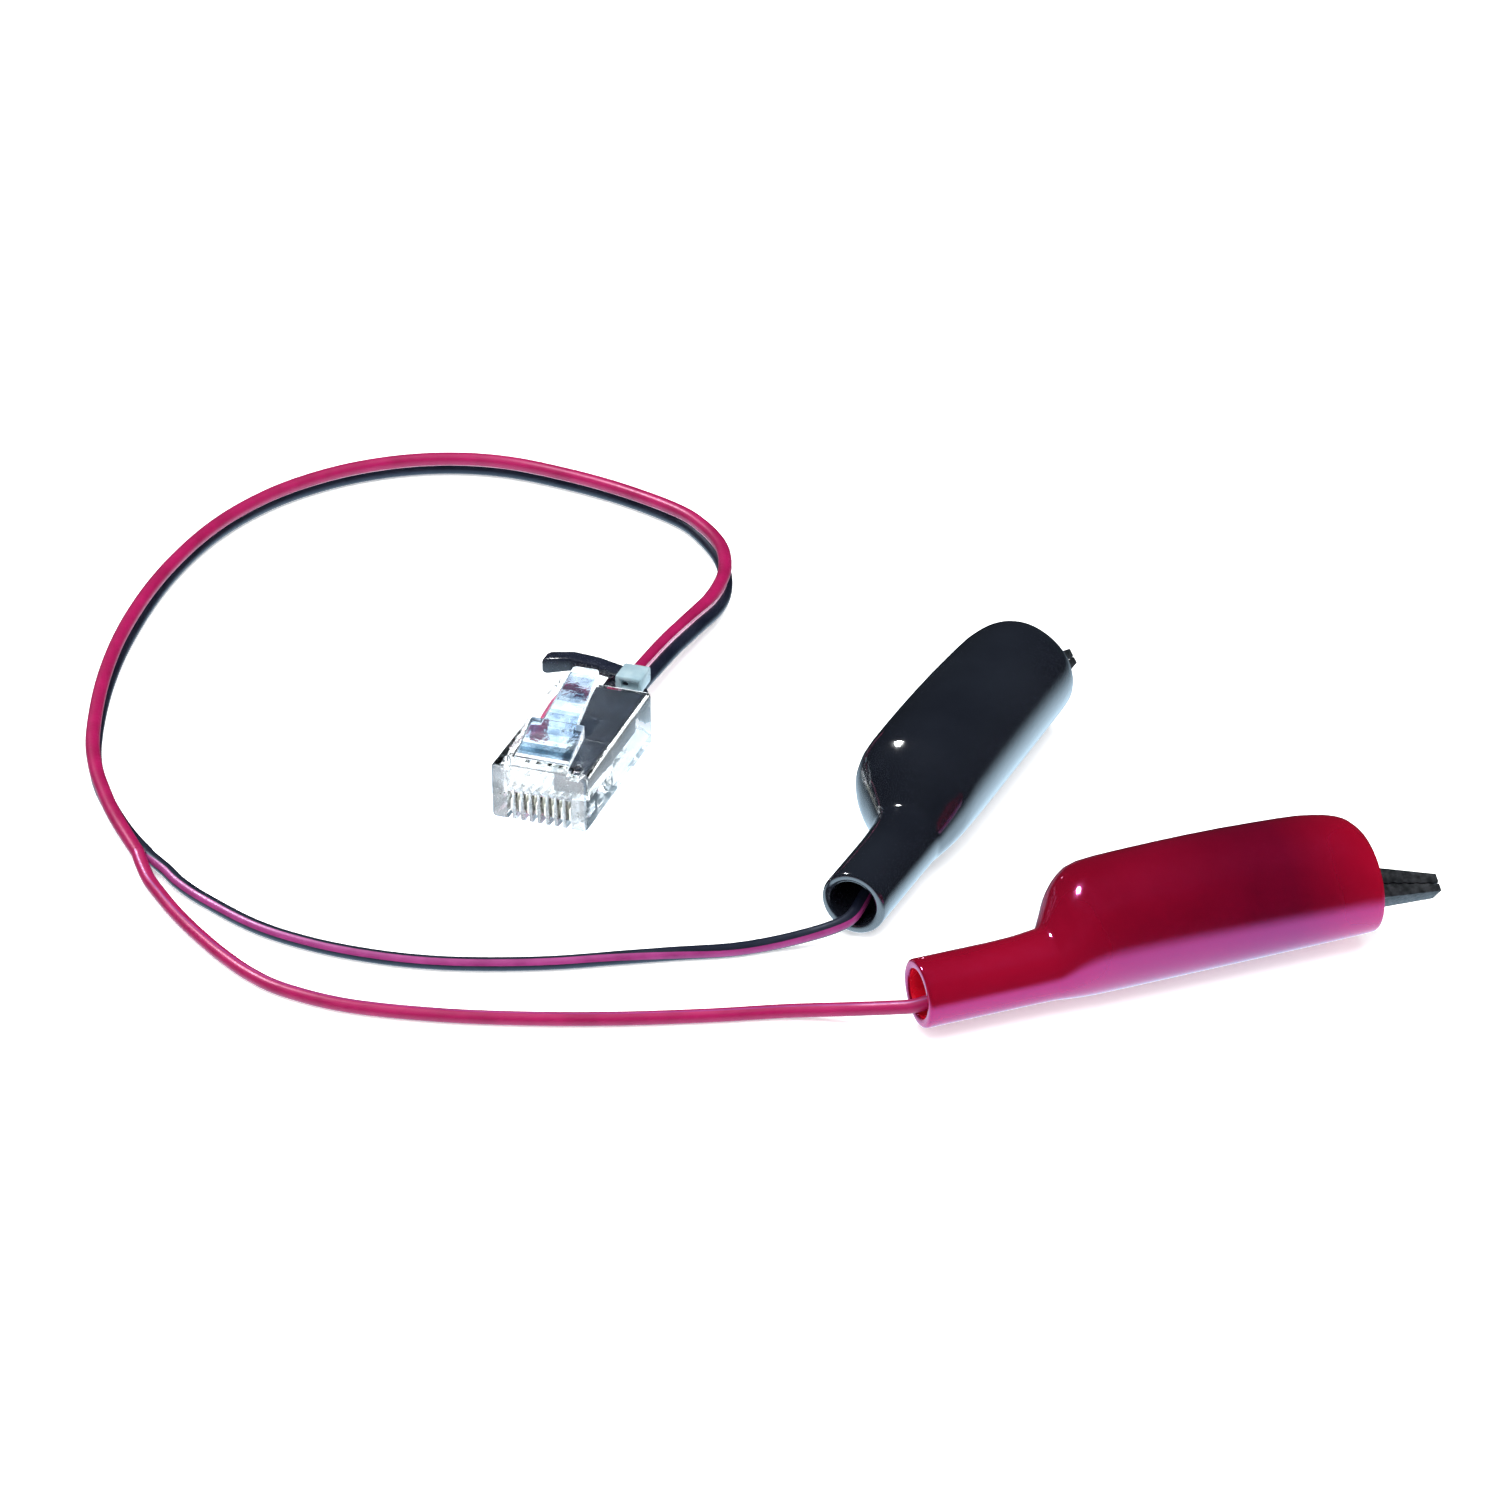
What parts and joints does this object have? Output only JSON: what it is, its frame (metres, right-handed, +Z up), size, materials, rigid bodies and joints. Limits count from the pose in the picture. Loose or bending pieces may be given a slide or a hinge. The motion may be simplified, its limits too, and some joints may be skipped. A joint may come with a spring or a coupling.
{
  "type": "modular plug to alligator clip test lead",
  "caption": "Clear modular plug with a sprung latch on a red and black twin cord that splits to two booted, toothed alligator clips.",
  "frame": {"origin": "on the resting plane, under the middle of the plug and the two clips", "axes": "+Z up from the resting plane; +X from the plug towards the red clip's jaws; +Y from the red clip towards the cord loop"},
  "size_m": [0.1541, 0.1368, 0.0148],
  "materials": {
    "clear_plastic": "clear moulded polycarbonate",
    "gold": "gold plated",
    "red_insulation": "semi-gloss PVC",
    "black_insulation": "semi-gloss PVC",
    "red_vinyl": "glossy flexible vinyl",
    "black_vinyl": "glossy flexible vinyl",
    "steel": "dark plated steel sheet",
    "spring_steel": "bright wire",
    "copper": "bare stranded copper"
  },
  "bodies": {
    "lead": {"plug_housing": "clear_plastic", "strain_relief_wedge": "clear_plastic", "contact_1": "gold", "contact_2": "gold", "contact_3": "gold", "contact_4": "gold", "contact_5": "gold", "contact_6": "gold", "contact_7": "gold", "contact_8": "gold", "plug_red_conductor": "red_insulation", "plug_black_sleeve": "black_insulation", "cord_tie": "black_insulation", "cord_pair": "black_insulation", "red_lead": "red_insulation", "black_lead": "black_insulation", "red_boot": "red_vinyl", "black_boot": "black_vinyl", "red_lower_jaw": "steel", "red_rivet": "steel", "red_spring": "spring_steel", "red_strands": "copper", "black_lower_jaw": "steel", "black_rivet": "steel", "black_spring": "spring_steel", "black_strands": "copper"},
    "latch": {"latch_lever": "clear_plastic"},
    "red_jaw": {"red_upper_jaw": "steel"},
    "black_jaw": {"black_upper_jaw": "steel"}
  },
  "joints": [
    {"name": "latch_flex", "type": "hinge", "parent": "lead", "child": "latch", "pos_m": [-0.04634, 0.00818, 0.0076], "axis": [0.9461, -0.3239, 0], "range_deg": [-13, 0], "stiffness_Nm_per_rad": 0.4},
    {"name": "red_jaw_pivot", "type": "hinge", "parent": "lead", "child": "red_jaw", "pos_m": [0.02543, -0.02044, 0.00822], "axis": [0.2158, -0.6055, 0.766], "range_deg": [0, 10], "stiffness_Nm_per_rad": 0.25, "springref_deg": -20.05, "deforming": ["red_spring"]},
    {"name": "black_jaw_pivot", "type": "hinge", "parent": "lead", "child": "black_jaw", "pos_m": [0.00105, 0.01499, 0.00849], "axis": [0.779, -0.3783, 0.5], "range_deg": [0, 10], "stiffness_Nm_per_rad": 0.25, "springref_deg": -20.05, "deforming": ["black_spring"]}
  ]
}
